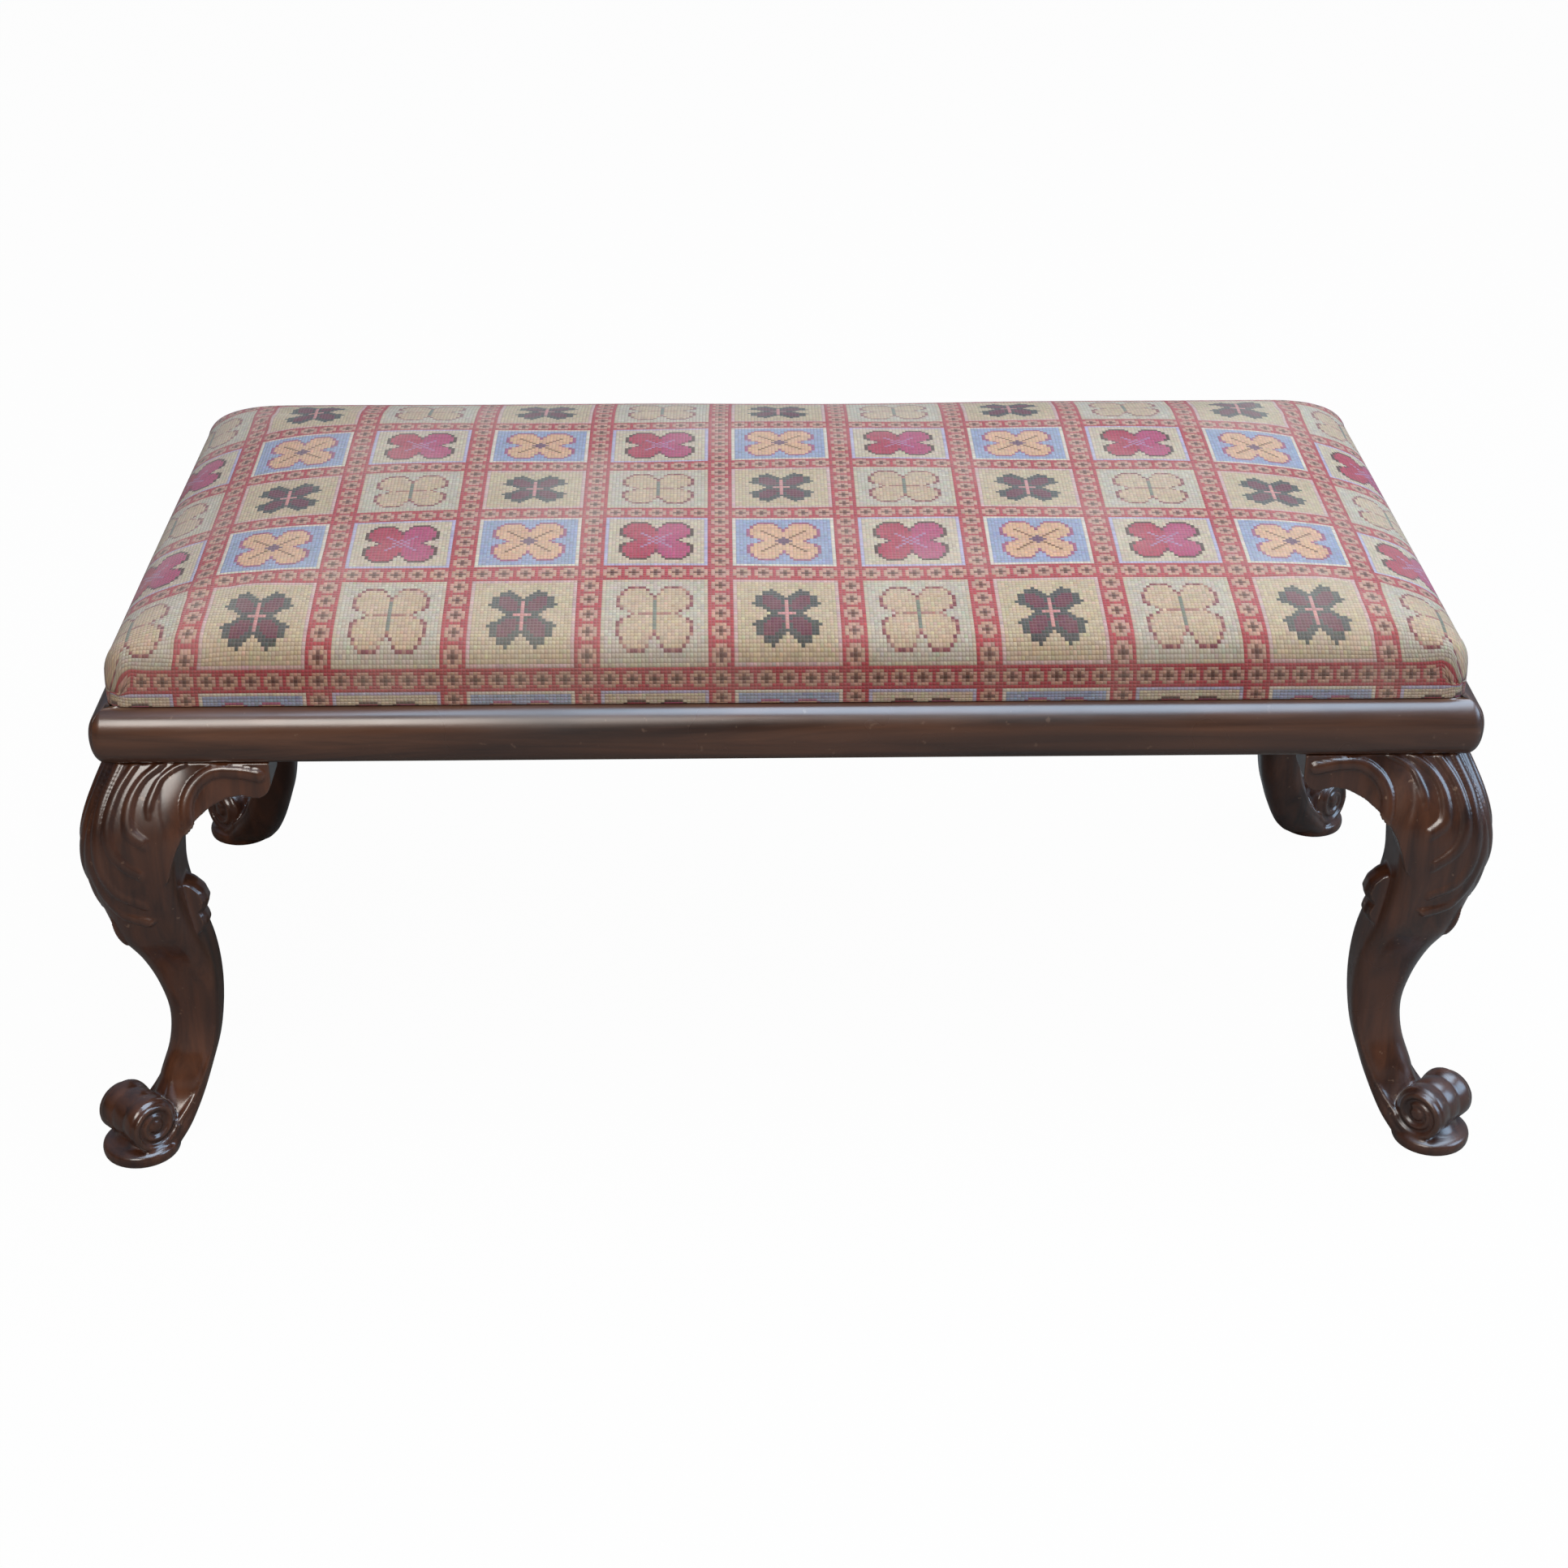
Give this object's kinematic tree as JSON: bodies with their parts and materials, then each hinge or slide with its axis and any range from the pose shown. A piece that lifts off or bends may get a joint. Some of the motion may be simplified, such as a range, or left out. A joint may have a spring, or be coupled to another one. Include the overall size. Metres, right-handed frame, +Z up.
{
  "type": "upholstered stool",
  "caption": "Long upholstered stool with a crowned needlepoint drop-in seat, a bullnose rail frame and carved cabriole legs on scroll toes.",
  "frame": {"origin": "on the floor, under the middle of the stool", "axes": "+X along the stool to the viewer's right, +Y from the front rail to the back rail, +Z up"},
  "size_m": [1.055, 0.559, 0.4494],
  "materials": {
    "walnut": "dark polished, worn edges",
    "beech": "sawn",
    "pine": "planed",
    "dowel": "turned",
    "screw_steel": "dull",
    "tack_iron": "blued",
    "jute": "coarse weave",
    "hessian": "open weave",
    "hair": "curled hair",
    "cotton": "soft",
    "needlepoint": "wool tent stitch in a trellis of four-petal flowers",
    "black_cloth": "plain weave"
  },
  "bodies": {
    "stool_frame": {"front_rail": "walnut", "right_rail": "walnut", "back_rail": "walnut", "left_rail": "walnut", "front_left_leg": "walnut", "front_right_leg": "walnut", "back_right_leg": "walnut", "back_left_leg": "walnut", "front_left_front_ear": "walnut", "front_left_side_ear": "walnut", "front_right_side_ear": "walnut", "front_right_front_ear": "walnut", "back_right_back_ear": "walnut", "back_right_side_ear": "walnut", "back_left_side_ear": "walnut", "back_left_back_ear": "walnut", "front_left_corner_block": "beech", "front_right_corner_block": "beech", "back_right_corner_block": "beech", "back_left_corner_block": "beech", "mitre_dowels": "dowel", "leg_screws": "screw_steel", "corner_block_screws": "screw_steel", "ear_dowels": "dowel"},
    "slip_seat": {"front_batten": "pine", "back_batten": "pine", "left_batten": "pine", "right_batten": "pine", "cross_batten": "pine", "batten_dowels": "dowel", "long_webbing": "jute", "cross_webbing": "jute", "webbing_tacks": "tack_iron", "hessian": "hessian", "stuffing": "hair", "wadding": "cotton", "calico": "cotton", "needlepoint_cover": "needlepoint", "cover_tacks": "tack_iron", "bottom_cloth": "black_cloth"}
  },
  "joints": [
    {"name": "seat_lift", "type": "slide", "parent": "stool_frame", "child": "slip_seat", "axis": [0, 0, 1], "range_m": [0, 0.12]}
  ]
}
